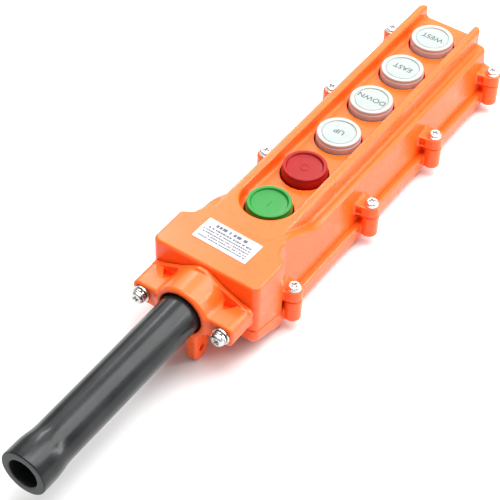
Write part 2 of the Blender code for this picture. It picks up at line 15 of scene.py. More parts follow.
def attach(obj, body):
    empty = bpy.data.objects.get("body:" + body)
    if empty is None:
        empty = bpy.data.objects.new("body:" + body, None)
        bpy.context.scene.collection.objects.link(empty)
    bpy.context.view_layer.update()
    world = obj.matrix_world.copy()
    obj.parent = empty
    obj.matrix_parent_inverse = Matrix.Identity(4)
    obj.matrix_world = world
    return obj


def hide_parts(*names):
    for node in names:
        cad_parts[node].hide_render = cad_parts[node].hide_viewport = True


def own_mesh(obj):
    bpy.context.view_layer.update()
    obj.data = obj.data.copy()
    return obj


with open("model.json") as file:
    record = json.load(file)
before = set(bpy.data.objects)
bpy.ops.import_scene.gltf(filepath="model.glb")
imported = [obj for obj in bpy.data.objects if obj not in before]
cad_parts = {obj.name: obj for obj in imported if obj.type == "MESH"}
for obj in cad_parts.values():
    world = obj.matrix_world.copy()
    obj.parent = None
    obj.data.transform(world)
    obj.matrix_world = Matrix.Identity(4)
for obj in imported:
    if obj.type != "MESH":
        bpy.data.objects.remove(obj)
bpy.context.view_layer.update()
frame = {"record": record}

MM = 0.001
ROOT = "station"

# ---- sizes, in millimetres, as the CAD has them ---------------------------
GAP, WALL = 0.3, 2.9
PITCH = 34.0
FIRST_BUTTON_Y = 3.8
TIP_Y, FACE_Y = 196.3, -55.0
HEAD_BACK_Y, NECK_Y = -31.0, -18.0
TOP_Z, FLOOR_Z, SHOULDER_Z, SEAM_Z = 51.0, 43.3, 39.3, 14.6
UNDER_RISE, SEAM_RISE = 0.38, 0.24      # the head's climb towards the cable end
CORNER_R = 4.0                          # corners seen from above
RAMP_Y, RAMP_RUN = -18.2, 32.0          # where the shoulder comes down from the head
HOLLOW_Z, CHANNEL_HOLLOW_Z = 36.0, 40.6
CHANNEL_HOLLOW_HALF, END_WALL = 17.8, 4.0
HEAD_HALF, BODY_TOP_HALF, BODY_SEAM_HALF = 32.2, 25.6, 28.0
RIM_HALF, RIDGE_OUT, CHANNEL_HALF = 31.3, 20.6, 15.7
BUTTON_HOLE_R = 13.3
SCREW_X = 34.4
SCREW_YS = (-23.4, 52.9, 121.1, 189.3)
BOSS_R, TAB_ROOT_R = 4.8, 6.4
BOSS_Z = (7.25, 20.95)
NICHE_X, NICHE_Z, NICHE_HALF = 29.5, 24.5, (1.6, 2.2)
NICHE_FACE = 3.9                        # from the screw's axis to the niche's face
TAB_Z = (21.0, 27.9)
CABLE_Z = 32.5
CABLE_HOLE_R, CABLE_HOLE_DEPTH = 9.0, 8.0
PLATE_BACK_Y, PLATE = -55.3, 2.6        # the collar's plate and its thickness
COLLAR_FRONT_Y, COLLAR_EAR_Y = -75.2, -73.7
BARREL_R, COLLAR_BORE_R = 15.8, 12.6
FLANGE_ROOM_R = 14.8                    # room in the collar for the sleeve's flange
EAR_X, EAR_Z = 24.6, 31.2
EAR_CORNER_X, EAR_CORNER_Z, EAR_CORNER_R = 27.0, 2.8, 3.5
EAR_MIDDLE_X, EAR_HALF, EAR_HOLE_R = 16.2, (14.3, 6.3), 2.5
ARCH_R = 17.2
PIT_X, PIT_HALF, PIT_DEPTH = 18.5, 4.3, 5.6
LUG_X = (3.8, 9.6)
LUG_Y, LUG_Z, LUG_R = -69.6, 6.3, 5.9
EYE_R = 2.0
SLEEVE_END_Y = -196.3
SLEEVE_R, SLEEVE_MOUTH_R, SLEEVE_BORE_R, FLANGE_R = 11.6, 12.9, 8.2, 14.4
CAP_R, CAP_FOOT_R, CAP_FLANGE_R, CAP_BORE_R = 12.1, 12.5, 14.4, 10.6
CAP_FLANGE_Z = (37.4, 38.9)
DISC_R = 9.02
SCREW_HEAD_R, SCREW_FLANGE_R, SCREW_HEAD_HIGH = 3.55, 4.0, 2.4
SHANK_R, COVER_SHANK, COLLAR_SHANK = 1.9, 16.0, 26.0
WASHER_R, WASHER_HOLE_R, WASHER_THICK = 4.95, 2.3, 1.0
LOCK_WASHER_THICK = 1.2
LABEL_CENTRE, LABEL_TURN = (0.0, -34.5), math.radians(-2.4)
LABEL_HALF = (16.9, 7.9)
CAMERA_PLACE = (0.322718, -0.514783, 0.636938)      # metres
CAMERA_ANGLES = (32.74, 45.6574, 2.3198)            # turn, height and roll in degrees
CAMERA_LENS = 117.34
BUTTONS = (("start", "green", 49.1), ("stop", "red", 49.1), ("up", "white", 48.5),
           ("down", "white", 48.5), ("east", "white", 48.5), ("west", "white", 48.5))


# ---- distance fields -------------------------------------------------------
def both(a, b, r):
    """Where both fields are solid, with the shared edge rounded to radius r."""
    u, v = np.maximum(a + r, 0.0), np.maximum(b + r, 0.0)
    return np.minimum(-r, np.maximum(a, b)) + np.sqrt(u * u + v * v)


def either(a, b, r):
    """Where either field is solid, with a fillet of radius r between them."""
    return -both(-a, -b, r)


def without(a, b, r):
    return both(a, -b, r)


def ease(value):
    value = np.clip(value, 0.0, 1.0)
    return value * value * (3.0 - 2.0 * value)


def between(value, low, high):
    """A slab from low to high."""
    return np.abs(value - 0.5 * (low + high)) - 0.5 * (high - low)


def disc(a, b, centre, radius):
    return np.sqrt((a - centre[0]) ** 2 + (b - centre[1]) ** 2) - radius


def bar(a, b, start, end, r_start, r_end):
    """A capsule in a plane whose radius changes along its length."""
    da, db = end[0] - start[0], end[1] - start[1]
    t = np.clip(((a - start[0]) * da + (b - start[1]) * db) / (da * da + db * db), 0, 1)
    away = np.sqrt((a - start[0] - t * da) ** 2 + (b - start[1] - t * db) ** 2)
    return away - (r_start + (r_end - r_start) * t)


def tile(a, b, half_a, half_b, r):
    """A rounded rectangle about the origin."""
    qa, qb = np.abs(a) - half_a + r, np.abs(b) - half_b + r
    out = np.sqrt(np.maximum(qa, 0) ** 2 + np.maximum(qb, 0) ** 2)
    return out + np.minimum(np.maximum(qa, qb), 0) - r


# ---- skinning ---------------------------------------------------------------
def skin(field, low, high, cell):
    """Surface nets: points, quads and normals of the field's zero surface."""
    low, high, cell = (np.array(v, float) for v in (low, high, cell))
    count = np.ceil((high - low) / cell).astype(int) + 1
    grid = [low[i] + cell[i] * np.arange(count[i]) for i in range(3)]
    value = field(grid[0][:, None, None], grid[1][None, :, None], grid[2][None, None, :])
    value = np.ascontiguousarray(np.broadcast_to(value, count))
    inside = value < 0
    total = np.zeros(count - 1, np.int8)
    corners = [np.array((i, j, k)) for i in (0, 1) for j in (0, 1) for k in (0, 1)]
    for i, j, k in corners:
        total += inside[i:count[0] - 1 + i, j:count[1] - 1 + j, k:count[2] - 1 + k]
    mixed = (total > 0) & (total < 8)
    cells = np.argwhere(mixed)
    index = np.full(count - 1, -1)
    index[mixed] = np.arange(len(cells))
    points, weight = np.zeros((len(cells), 3)), np.zeros(len(cells))
    for a in corners:
        for b in corners:
            if (b - a).sum() != 1 or (b < a).any():
                continue
            va, vb = value[tuple((cells + a).T)], value[tuple((cells + b).T)]
            cross = (va < 0) != (vb < 0)
            t = va[cross] / (va[cross] - vb[cross])
            points[cross] += a + (b - a) * t[:, None]
            weight[cross] += 1
    points = low + (cells + points / weight[:, None]) * cell
    quads = []
    for axis in range(3):
        step = np.eye(3, dtype=int)[axis]
        e1, e2 = np.eye(3, dtype=int)[(axis + 1) % 3], np.eye(3, dtype=int)[(axis + 2) % 3]
        size = count - step
        near = inside[:size[0], :size[1], :size[2]]
        far = inside[step[0]:, step[1]:, step[2]:]
        at = np.argwhere(near != far)
        quad = np.stack([index[tuple((at - d).T)] for d in (e1 + e2, e2, 0 * e1, e1)], 1)
        flip = ~near[tuple(at.T)]
        quad[flip] = quad[flip][:, ::-1]
        quads.append(quad)
    for _ in range(4):
        slope = gradient(field, points, 0.02)
        size = np.maximum((slope ** 2).sum(1), 0.05)
        move = slope * (field(*points.T) / size)[:, None]
        points -= np.clip(move, -0.5 * cell, 0.5 * cell)
    slope = gradient(field, points, 0.12 * cell.min())
    return points, np.concatenate(quads), slope / np.linalg.norm(slope, axis=1)[:, None]


def gradient(field, points, reach):
    slope = np.empty_like(points)
    for i in range(3):
        ahead, behind = points.copy(), points.copy()
        ahead[:, i] += reach
        behind[:, i] -= reach
        slope[:, i] = (field(*ahead.T) - field(*behind.T)) / (2 * reach)
    return slope


def piece(name, points, faces, material, normals=None):
    mesh = bpy.data.meshes.new(name)
    mesh.from_pydata((np.asarray(points) * MM).tolist(), [], [list(f) for f in faces])
    mesh.update()
    mesh.shade_smooth()
    if normals is not None:
        mesh.normals_split_custom_set_from_vertices(np.asarray(normals).tolist())
    made = bpy.data.objects.new(name, mesh)
    bpy.context.collection.objects.link(made)
    mesh.materials.append(material)
    return made


# ---- covers -----------------------------------------------------------------
def head_blend(y):
    """1 in the head, 0 along the body: a quick step and a slow one, mixed."""
    quick = 1.0 - ease((y - HEAD_BACK_Y) / 4.5)
    slow = 1.0 - ease((y - HEAD_BACK_Y) / (NECK_Y - HEAD_BACK_Y))
    return 0.65 * quick + 0.35 * slow


def side_field(x, y, wall, inset=0.0):
    """Both side walls and both ends, with the corners seen from above rounded."""
    half = wall + (HEAD_HALF - wall) * head_blend(y) - inset
    ends = np.maximum((FACE_Y + inset) - y, y - (TIP_Y - inset))
    return both(np.abs(x) - half, ends, max(CORNER_R - inset, 1.0))


def shoulder_height(y):
    return TOP_Z + (SHOULDER_Z - TOP_Z) * ease((y - RAMP_Y) / RAMP_RUN)


def cover_wall(z):
    slope = (BODY_SEAM_HALF - BODY_TOP_HALF) / (SHOULDER_Z - SEAM_Z)
    return BODY_TOP_HALF + slope * (SHOULDER_Z - z)


def head_rise(y, slope):
    """The head's underside and seam climb towards the cable end."""
    run = HEAD_BACK_Y - y
    return slope * 0.5 * (run + np.sqrt(run * run + 9.0))


def tabs_field(x, y, z):
    """The screw tabs, each with a small cored niche in its face."""
    found = None
    for ys in SCREW_YS:
        one = bar(np.abs(x), y, (25.0, ys), (SCREW_X, ys), TAB_ROOT_R, BOSS_R)
        niche = tile(np.abs(x) - NICHE_X, z - NICHE_Z, *NICHE_HALF, 0.5)
        one = without(one, np.maximum(niche, y - ys + NICHE_FACE), 0.5)
        found = one if found is None else np.minimum(found, one)
    return both(found, between(z, *TAB_Z), 1.0)


def front_field(x, y, z):
    wall = cover_wall(z)
    shoulder = shoulder_height(y)
    body = both(side_field(x, y, wall), z - shoulder, 1.9)
    blend = np.clip((TOP_Z - shoulder) / 3.0, 0.0, 1.0)
    ridge = both(side_field(x, y, RIDGE_OUT), z - TOP_Z, 1.5)
    ridge = np.maximum(ridge, np.abs(x) - RIDGE_OUT - 20.0 * (1.0 - blend))
    cover = either(body, ridge, 1.6 * blend)
    cover = either(cover, tabs_field(x, y, z), 1.6)
    cover = both(cover, SEAM_Z + head_rise(y, SEAM_RISE) - z, 0.3)
    channel = np.where(y < FIRST_BUTTON_Y, disc(x, y, (0.0, FIRST_BUTTON_Y), CHANNEL_HALF),
                       np.abs(x) - CHANNEL_HALF)
    channel = both(channel, FLOOR_Z - z, 2.4)
    cover = without(cover, channel, 1.3)
    hollow = both(side_field(x, y, wall, WALL), z - HOLLOW_Z, 1.5)
    upper = both(np.abs(x) - CHANNEL_HOLLOW_HALF, z - CHANNEL_HOLLOW_Z, 0.5)
    upper = np.maximum(upper, np.maximum(FACE_Y + END_WALL - y, y - TIP_Y + END_WALL))
    cover = without(cover, np.minimum(hollow, upper), 0.3)
    for i in range(len(BUTTONS)):
        hole = disc(x, y, (0.0, FIRST_BUTTON_Y + i * PITCH), BUTTON_HOLE_R)
        cover = without(cover, np.maximum(hole, HOLLOW_Z - z), 0.4)
    bore = np.maximum(disc(x, z, (0.0, CABLE_Z), CABLE_HOLE_R),
                      y - FACE_Y - CABLE_HOLE_DEPTH)
    return np.maximum(cover, -bore)


def rear_field(x, y, z):
    under, rim = head_rise(y, UNDER_RISE), SEAM_Z - GAP + head_rise(y, SEAM_RISE)
    outer = both(side_field(x, y, RIM_HALF), under - z, 6.6)
    outer = both(outer, z - rim, 1.1)
    bosses = None
    for ys in SCREW_YS:
        one = disc(np.abs(x), y, (SCREW_X, ys), BOSS_R)
        bosses = one if bosses is None else np.minimum(bosses, one)
    bosses = both(bosses, between(z, *BOSS_Z), 0.6)
    outer = either(outer, bosses, 1.4)
    hollow = both(side_field(x, y, BODY_SEAM_HALF, WALL), WALL + under - z, 1.5)
    return without(outer, hollow, 0.3)


# ---- cable collar ------------------------------------------------------------
def collar_plate(wide, z):
    """An arch whose flanks run straight to the rounded ends of the ears."""
    flanks = []
    for end_z in (EAR_Z + EAR_CORNER_Z, EAR_Z - EAR_CORNER_Z):
        flanks.append(bar(wide, z, (0.0, CABLE_Z - 0.3), (EAR_CORNER_X, end_z),
                          ARCH_R, EAR_CORNER_R))
    return np.minimum(*flanks)


def ear_pit(wide, y, z):
    """The three-sided pit in an ear, widest and deepest against the plate."""
    out = PLATE_BACK_Y - PLATE - y
    sides = np.maximum(np.abs(wide - PIT_X) - PIT_HALF * (1.0 - out / PIT_DEPTH), -out)
    return np.maximum(sides, 0.8 * (37.4 - 4.6 * (1.0 - out / 6.0) - z))


def collar_field(x, y, z):
    wide = np.abs(x)
    plate = both(collar_plate(wide, z), between(y, PLATE_BACK_Y - PLATE, PLATE_BACK_Y), 0.7)
    nose = both(disc(x, z, (0.0, CABLE_Z), BARREL_R), COLLAR_FRONT_Y - y, 2.0)
    nose = np.maximum(nose, y - PLATE_BACK_Y)
    ear = both(tile(wide - EAR_MIDDLE_X, z - EAR_Z, *EAR_HALF, EAR_CORNER_R),
               COLLAR_EAR_Y - y, 1.3)
    ear = np.maximum(ear, y - PLATE_BACK_Y)
    ear = without(ear, ear_pit(wide, y, z), 0.6)
    collar = either(nose, ear, 2.0)
    collar = either(collar, plate, 1.0)
    lug = bar(y, z, (LUG_Y, 24.0), (LUG_Y, LUG_Z), LUG_R, LUG_R)
    collar = either(collar, both(lug, between(x, *LUG_X), 1.2), 1.6)
    eye = disc(y, z, (LUG_Y + 0.4, LUG_Z + 1.3), EYE_R)
    collar = without(collar, np.maximum(eye, z - 12.0), 0.6)
    room = np.maximum(disc(x, z, (0.0, CABLE_Z), FLANGE_ROOM_R), PLATE_BACK_Y - 3.8 - y)
    bore = np.minimum(disc(x, z, (0.0, CABLE_Z), COLLAR_BORE_R), room)
    collar = without(collar, bore, 0.9)
    return without(collar, disc(wide, z, (EAR_X, EAR_Z), EAR_HOLE_R), 0.3)


# ---- turned pieces -------------------------------------------------------------
def fillets(profile, steps=5):
    """Round the corners of (radius, height, fillet) points."""
    points = []
    last = len(profile) - 1
    for i, (r, z, size) in enumerate(profile):
        here = Vector((r, z))
        if size == 0 or i in (0, last):
            points.append((r, z))
            continue
        before = Vector(profile[i - 1][:2]) - here
        after = Vector(profile[i + 1][:2]) - here
        size = min(size, 0.45 * before.length, 0.45 * after.length)
        a, b = here + before.normalized() * size, here + after.normalized() * size
        for k in range(steps + 1):
            t = k / steps
            point = (1 - t) ** 2 * a + 2 * t * (1 - t) * here + t * t * b
            points.append((point.x, point.y))
    return points


def turned(profile, sides, closed=False):
    """Points and faces of a turned form; its axis is Z."""
    points, faces, rows = [], [], []
    for r, z in profile:
        if r < 1e-6:
            rows.append([len(points)] * sides)
            points.append((0.0, 0.0, z))
            continue
        rows.append(list(range(len(points), len(points) + sides)))
        for k in range(sides):
            angle = 2 * math.pi * k / sides
            points.append((r * math.cos(angle), r * math.sin(angle), z))
    pairs = list(zip(rows, rows[1:]))
    if closed:
        pairs.append((rows[-1], rows[0]))
    for low, high in pairs:
        for k in range(sides):
            j = (k + 1) % sides
            face = []
            for v in (low[k], low[j], high[j], high[k]):
                if v not in face:
                    face.append(v)
            if len(face) > 2:
                faces.append(face)
    return np.array(points), faces


def outward(made):
    """Turn all faces outwards and mark the sharp edges."""
    bm = bmesh.new()
    bm.from_mesh(made.data)
    bmesh.ops.recalc_face_normals(bm, faces=bm.faces)
    bm.to_mesh(made.data)
    bm.free()
    made.data.shade_smooth()
    made.data.set_sharp_from_angle(angle=math.radians(42))
    return made


def moved(points, centre, axis="z"):
    """Put points made about Z at a centre; "-y" turns +Z to -Y."""
    x, y, z = points.T
    turned_points = {"z": (x, y, z), "-y": (x, -z, y)}[axis]
    return np.stack(turned_points, 1) + np.array(centre)


# ---- materials -------------------------------------------------------------------
class Shader:
    """A Principled material with a few procedural details."""

    def __init__(self, name, colour, rough, metallic=0.0, **sockets):
        self.material = bpy.data.materials.new(name)
        self.material.use_nodes = True
        self.tree = self.material.node_tree
        self.bsdf = self.tree.nodes["Principled BSDF"]
        self.put("Base Color", (*colour, 1.0))
        self.put("Roughness", rough)
        self.put("Metallic", metallic)
        for socket, value in sockets.items():
            self.put(socket.replace("_", " "), value)
        self.place = self.node("ShaderNodeTexCoord").outputs["Object"]

    def put(self, socket, value):
        self.bsdf.inputs[socket].default_value = value

    def node(self, kind, **values):
        made = self.tree.nodes.new(kind)
        for key, value in values.items():
            setattr(made, key, value)
        return made

    def link(self, a, b):
        self.tree.links.new(a, b)

    def noise(self, scale, detail=3.0, stretch=None):
        texture = self.node("ShaderNodeTexNoise")
        texture.inputs["Scale"].default_value = scale
        texture.inputs["Detail"].default_value = detail
        source = self.place
        if stretch:
            mapping = self.node("ShaderNodeMapping")
            mapping.inputs["Scale"].default_value = stretch
            self.link(source, mapping.inputs["Vector"])
            source = mapping.outputs["Vector"]
        self.link(source, texture.inputs["Vector"])
        return texture.outputs["Fac"]

    def tint(self, factor, low, high, near=0.35, far=0.65):
        ramp = self.node("ShaderNodeValToRGB")
        ramp.color_ramp.elements[0].position = near
        ramp.color_ramp.elements[1].position = far
        ramp.color_ramp.elements[0].color = (*low, 1.0)
        ramp.color_ramp.elements[1].color = (*high, 1.0)
        self.link(factor, ramp.inputs["Fac"])
        return ramp.outputs["Color"]

    def vary(self, socket, factor, low, high):
        ramp = self.node("ShaderNodeMapRange")
        for key, value in (("From Min", 0.3), ("From Max", 0.7), ("To Min", low),
                           ("To Max", high)):
            ramp.inputs[key].default_value = value
        self.link(factor, ramp.inputs["Value"])
        self.link(ramp.outputs["Result"], self.bsdf.inputs[socket])

    def bump(self, factors):
        """Stack bumps a tenth of a millimetre deep; factors are (output, strength)."""
        normal = None
        for factor, strength in factors:
            bump = self.node("ShaderNodeBump")
            bump.inputs["Strength"].default_value = strength
            bump.inputs["Distance"].default_value = 0.1 * MM
            self.link(factor, bump.inputs["Height"])
            if normal:
                self.link(normal, bump.inputs["Normal"])
            normal = bump.outputs["Normal"]
        self.link(normal, self.bsdf.inputs["Normal"])


def moulded(name, colour, dark, rough, **sockets):
    """Injection-moulded plastic: faint flow tint, handling haze and fine texture."""
    s = Shader(name, colour, rough, **sockets)
    s.link(s.tint(s.noise(38.0, 4.0), dark, colour, 0.25, 0.6), s.bsdf.inputs["Base Color"])
    s.vary("Roughness", s.noise(95.0, 5.0), rough - 0.06, rough + 0.09)
    s.bump([(s.noise(5200.0, 2.0), 0.10), (s.noise(420.0, 2.0), 0.16)])
    return s.material


def rubber(name):
    """Dark rubber with flow lines along the part."""
    s = Shader(name, (0.011, 0.0125, 0.013), 0.22, Specular_IOR_Level=0.24)
    s.link(s.tint(s.noise(60.0, 5.0), (0.009, 0.0105, 0.011), (0.016, 0.018, 0.0185)),
           s.bsdf.inputs["Base Color"])
    s.vary("Roughness", s.noise(130.0, 6.0, (1.0, 0.25, 1.0)), 0.17, 0.27)
    s.bump([(s.noise(2600.0, 3.0), 0.15), (s.noise(240.0, 3.0, (1.0, 0.2, 1.0)), 0.2)])
    return s.material


def metal(name, colour, rough):
    """Plated metal with a fine grain."""
    s = Shader(name, colour, rough, 1.0)
    s.link(s.tint(s.noise(900.0, 3.0), [0.75 * c for c in colour], colour),
           s.bsdf.inputs["Base Color"])
    s.vary("Roughness", s.noise(1500.0, 3.0), rough - 0.08, rough + 0.12)
    s.bump([(s.noise(3800.0, 2.0), 0.12)])
    return s.material


ORANGE = moulded("orange_moulding", (0.93, 0.112, 0.011), (0.90, 0.100, 0.009), 0.28,
                 Specular_IOR_Level=0.3, Coat_Weight=0.12, Coat_Roughness=0.14)
GREEN = moulded("green_cap", (0.008, 0.195, 0.022), (0.006, 0.17, 0.018), 0.36,
                Specular_IOR_Level=0.35)
RED = moulded("red_cap", (0.27, 0.006, 0.006), (0.23, 0.005, 0.005), 0.34,
              Specular_IOR_Level=0.2)
WHITE = moulded("white_cap", (0.37, 0.38, 0.355), (0.36, 0.37, 0.345), 0.30,
                Subsurface_Weight=0.35, Subsurface_Scale=0.004)
DISC = moulded("white_cap_disc", (0.31, 0.335, 0.325), (0.302, 0.327, 0.317), 0.26,
               Subsurface_Weight=0.3, Subsurface_Scale=0.004)
INK = moulded("grey_ink", (0.03, 0.03, 0.03), (0.02, 0.02, 0.02), 0.5)
PAPER = moulded("label_film", (0.45, 0.45, 0.455), (0.42, 0.42, 0.43), 0.42)
PRINT = moulded("label_print", (0.06, 0.06, 0.09), (0.045, 0.045, 0.07), 0.5)
RUBBER = rubber("sleeve_rubber")
ZINC = metal("zinc_plate", (0.72, 0.71, 0.69), 0.24)
SPRING = metal("spring_wire", (0.45, 0.45, 0.46), 0.35)
BRASS = metal("contact_brass", (0.75, 0.55, 0.22), 0.35)
GREY = moulded("grey_moulding", (0.20, 0.21, 0.22), (0.16, 0.17, 0.18), 0.5)
NATURAL = moulded("natural_nylon", (0.75, 0.74, 0.70), (0.70, 0.69, 0.65), 0.45)
SEAL = rubber("seal_rubber")


# ---- building ---------------------------------------------------------------------
def build_mouldings():
    jobs = (
        ("front_shell", front_field, (-40.5, -56.5, 13.6), (40.5, 198.0, 52.4),
         (0.8, 0.9, 0.8), "front_cover"),
        ("rear_shell", rear_field, (-40.5, -56.5, -1.2), (40.5, 198.0, 22.4),
         (0.85, 0.95, 0.85), "rear_cover"),
        ("collar_body", collar_field, (-31.6, -76.4, -0.8), (31.6, -54.2, 50.6),
         (0.5, 0.5, 0.5), "cable_collar"),
    )
    for name, field, low, high, cell, node in jobs:
        points, quads, normals = skin(field, low, high, cell)
        made = piece(name, points, quads, ORANGE, normals)
        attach(made, ROOT)
        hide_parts(node)


def build_sleeve():
    """The bend sleeve, with a wider mouth and a flange under the collar."""
    root, end = GAP - PLATE_BACK_Y, -SLEEVE_END_Y
    profile = fillets([
        (FLANGE_R, root, 0), (FLANGE_R, root + 2.9, 0.4), (12.2, root + 3.4, 0.6),
        (SLEEVE_R, root + 8.0, 1.0), (SLEEVE_R, end - 20.0, 8.0),
        (SLEEVE_MOUTH_R, end - 12.0, 5.0), (SLEEVE_MOUTH_R, end, 0.8),
        (SLEEVE_BORE_R, end, 0.6), (SLEEVE_BORE_R, root, 0)])
    dense, longest = [], 3.0
    for (r0, z0), (r1, z1) in zip(profile, profile[1:]):
        steps = max(1, int(abs(z1 - z0) / longest))
        for k in range(steps):
            dense.append((r0 + (r1 - r0) * k / steps, z0 + (z1 - z0) * k / steps))
    dense.append(profile[-1])
    points, faces = turned(dense, 96, closed=True)
    made = outward(piece("sleeve_body", moved(points, (0, 0, CABLE_Z), "-y"), faces, RUBBER))
    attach(made, ROOT)
    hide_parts("cable_sleeve")


def build_cap(name, look, top, y):
    """A cap with a raised rim; a white one holds a pale disc, the others a mark."""
    disc_low, disc_high, mark_z = top - 0.95, top - 0.42, top - 1.70
    if look == "white":
        face = [(0, top - 0.55, 0), (9.1, top - 0.55, 0.1), (9.3, disc_low, 0.1),
                (9.55, disc_low, 0.1), (9.8, top - 0.25, 0.2), (10.4, top, 0.4)]
    else:
        face = [(0, top - 1.75, 0), (7.6, top - 1.6, 1.5), (9.6, top - 1.45, 0.5),
                (10.15, top - 0.1, 0.3)]
    flange_low, flange_high = CAP_FLANGE_Z
    wall = [(CAP_R, top, 0.8), (CAP_R, top - 2.2, 0.2), (CAP_FOOT_R - 0.05, top - 2.55, 0.25),
            (CAP_FOOT_R, flange_high, 0.2), (CAP_FLANGE_R, flange_high, 0.2),
            (CAP_FLANGE_R, flange_low, 0.2), (CAP_BORE_R, flange_low, 0.2),
            (CAP_BORE_R, top - 2.6, 0.3), (0, top - 2.6, 0)]
    shade = {"white": WHITE, "green": GREEN, "red": RED}[look]
    body, slot = f"{name}_button", f"{look}_button"
    points, faces = turned(fillets(face + wall), 80)
    made = outward(piece(f"{name}_cap", moved(points, (0, y, 0)), faces, shade))
    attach(made, body)
    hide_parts(f"{name}_button_cap")
    if look != "white":
        build_mark(name, look, body, mark_z, y, shade)
        return
    points, faces = turned(fillets([(0, disc_low, 0), (DISC_R, disc_low, 0),
                                    (DISC_R, disc_high, 0.15), (0, disc_high, 0)]), 64)
    made = outward(piece(f"{name}_disc", moved(points, (0, y, 0)), faces, DISC))
    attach(made, body)
    build_word(name, body, disc_high, y)


def mesh_from(curve_object, name, material):
    """Turn a text or curve object into a mesh piece."""
    bpy.context.view_layer.update()
    evaluated = curve_object.evaluated_get(bpy.context.evaluated_depsgraph_get())
    mesh = bpy.data.meshes.new_from_object(evaluated)
    mesh.transform(curve_object.matrix_world)
    mesh.materials.clear()
    mesh.materials.append(material)
    made = bpy.data.objects.new(name, mesh)
    bpy.context.collection.objects.link(made)
    bpy.data.objects.remove(curve_object)
    return made


def build_word(name, body, z, y):
    """The direction word on a white cap; its top points to the cable."""
    curve = bpy.data.curves.new(f"{name}_text", "FONT")
    curve.body = name.upper()
    curve.size = 5.2 * MM
    curve.align_x, curve.align_y = "CENTER", "CENTER"
    curve.extrude = 0.04 * MM
    text = bpy.data.objects.new(f"{name}_text", curve)
    bpy.context.collection.objects.link(text)
    text.location = (0.0, (y + 0.6) * MM, (z + 0.02) * MM)
    text.rotation_euler = (0.0, 0.0, math.pi)
    made = mesh_from(text, f"{name}_word", INK)
    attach(made, body)


def build_mark(name, look, body, z, y, shade):
    """A faint raised mark: a bar to start, a ring to stop."""
    def field(a, b, c):
        if look == "green":
            shape = tile(a, b - y, 0.45, 2.3, 0.4)
        else:
            shape = np.abs(disc(a, b, (0.0, y), 2.3)) - 0.4
        return both(shape, np.abs(c - z) - 0.22, 0.12)

    points, quads, normals = skin(field, (-3.1, y - 3.1, z - 0.5), (3.1, y + 3.1, z + 0.5),
                                  (0.16, 0.16, 0.11))
    made = piece(f"{name}_mark", points, quads, shade, normals)
    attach(made, body)


def screw_head(x, y, z):
    """A pan head on an integral washer, with a cross recess."""
    radius = np.sqrt(x * x + y * y)
    dome = both(radius - SCREW_HEAD_R, z - SCREW_HEAD_HIGH, 1.25)
    flange = both(radius - SCREW_FLANGE_R, z - 0.75, 0.25)
    head = both(either(dome, flange, 0.25), -z, 0.15)
    arm = np.minimum(tile(x, y, 2.0, 0.5, 0.2), tile(x, y, 0.5, 2.0, 0.2))
    arm = np.minimum(arm, radius - 0.95) + 0.22 * (SCREW_HEAD_HIGH - z)
    return without(head, np.maximum(arm, 0.9 - z), 0.12)


def build_screw(name, node, centre, axis, shank, turn, data):
    points, quads, normals = data
    c, s = math.cos(turn), math.sin(turn)
    spin = np.array(((c, -s, 0), (s, c, 0), (0, 0, 1)))
    rod, rod_faces = turned([(0, -shank), (1.45, -shank), (SHANK_R, -shank + 0.8),
                             (SHANK_R, 0.1), (0, 0.1)], 20)
    every = np.concatenate([points @ spin.T, rod])
    faces = quads.tolist() + [[v + len(points) for v in f] for f in rod_faces]
    made = outward(piece(name, moved(every, centre, axis), faces, ZINC))
    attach(made, ROOT)
    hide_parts(node)


def build_ring(name, node, points, faces, centre):
    """A washer on the collar, made about Z and turned to face -Y."""
    made = outward(piece(name, moved(points, centre, "-y"), faces, ZINC))
    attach(made, ROOT)
    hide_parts(node)


def build_fasteners():
    data = skin(screw_head, (-4.3, -4.3, -0.4), (4.3, 4.3, 2.8), (0.2, 0.2, 0.2))
    flat = turned(fillets([(WASHER_HOLE_R, 0, 0), (WASHER_R, 0, 0.2),
                           (WASHER_R, WASHER_THICK, 0.2), (WASHER_HOLE_R, WASHER_THICK, 0)]),
                  64, closed=True)
    number = 0
    for side, word in ((-1, "left"), (1, "right")):
        for i, y in enumerate(SCREW_YS, 1):
            number += 1
            build_screw(f"screw_{word}_{i}", f"cover_screw_{word}_{i}",
                        (side * SCREW_X, y, TAB_Z[1] + GAP), "z", COVER_SHANK, number * 0.9, data)
        face = COLLAR_EAR_Y - GAP
        build_ring(f"washer_{word}", f"flat_washer_{word}", *flat, (side * EAR_X, face, EAR_Z))
        face -= WASHER_THICK + GAP
        build_ring(f"lock_washer_{word}", f"spring_washer_{word}", *split_ring(),
                   (side * EAR_X, face, EAR_Z))
        face -= LOCK_WASHER_THICK + GAP
        build_screw(f"ear_screw_{word}", f"collar_screw_{word}", (side * EAR_X, face, EAR_Z),
                    "-y", COLLAR_SHANK, 0.5 + side * 0.3, data)


def split_ring():
    """A spring washer: a square section swept round with a slanted gap."""
    steps, gap = 56, 0.16
    section = [(2.35, 0.0), (4.0, 0.0), (4.0, 0.95), (2.35, 0.95)]
    points, faces = [], []
    for k in range(steps + 1):
        angle = gap + (2 * math.pi - 2 * gap) * k / steps + 1.2
        lift = 0.25 * k / steps
        for r, z in section:
            points.append((r * math.cos(angle), r * math.sin(angle), z + lift))
    for k in range(steps):
        for i in range(4):
            a, b = 4 * k, 4 * k + 4
            j = (i + 1) % 4
            faces.append([a + i, a + j, b + j, b + i])
    faces += [[3, 2, 1, 0], [4 * steps + i for i in range(4)]]
    return np.array(points), faces


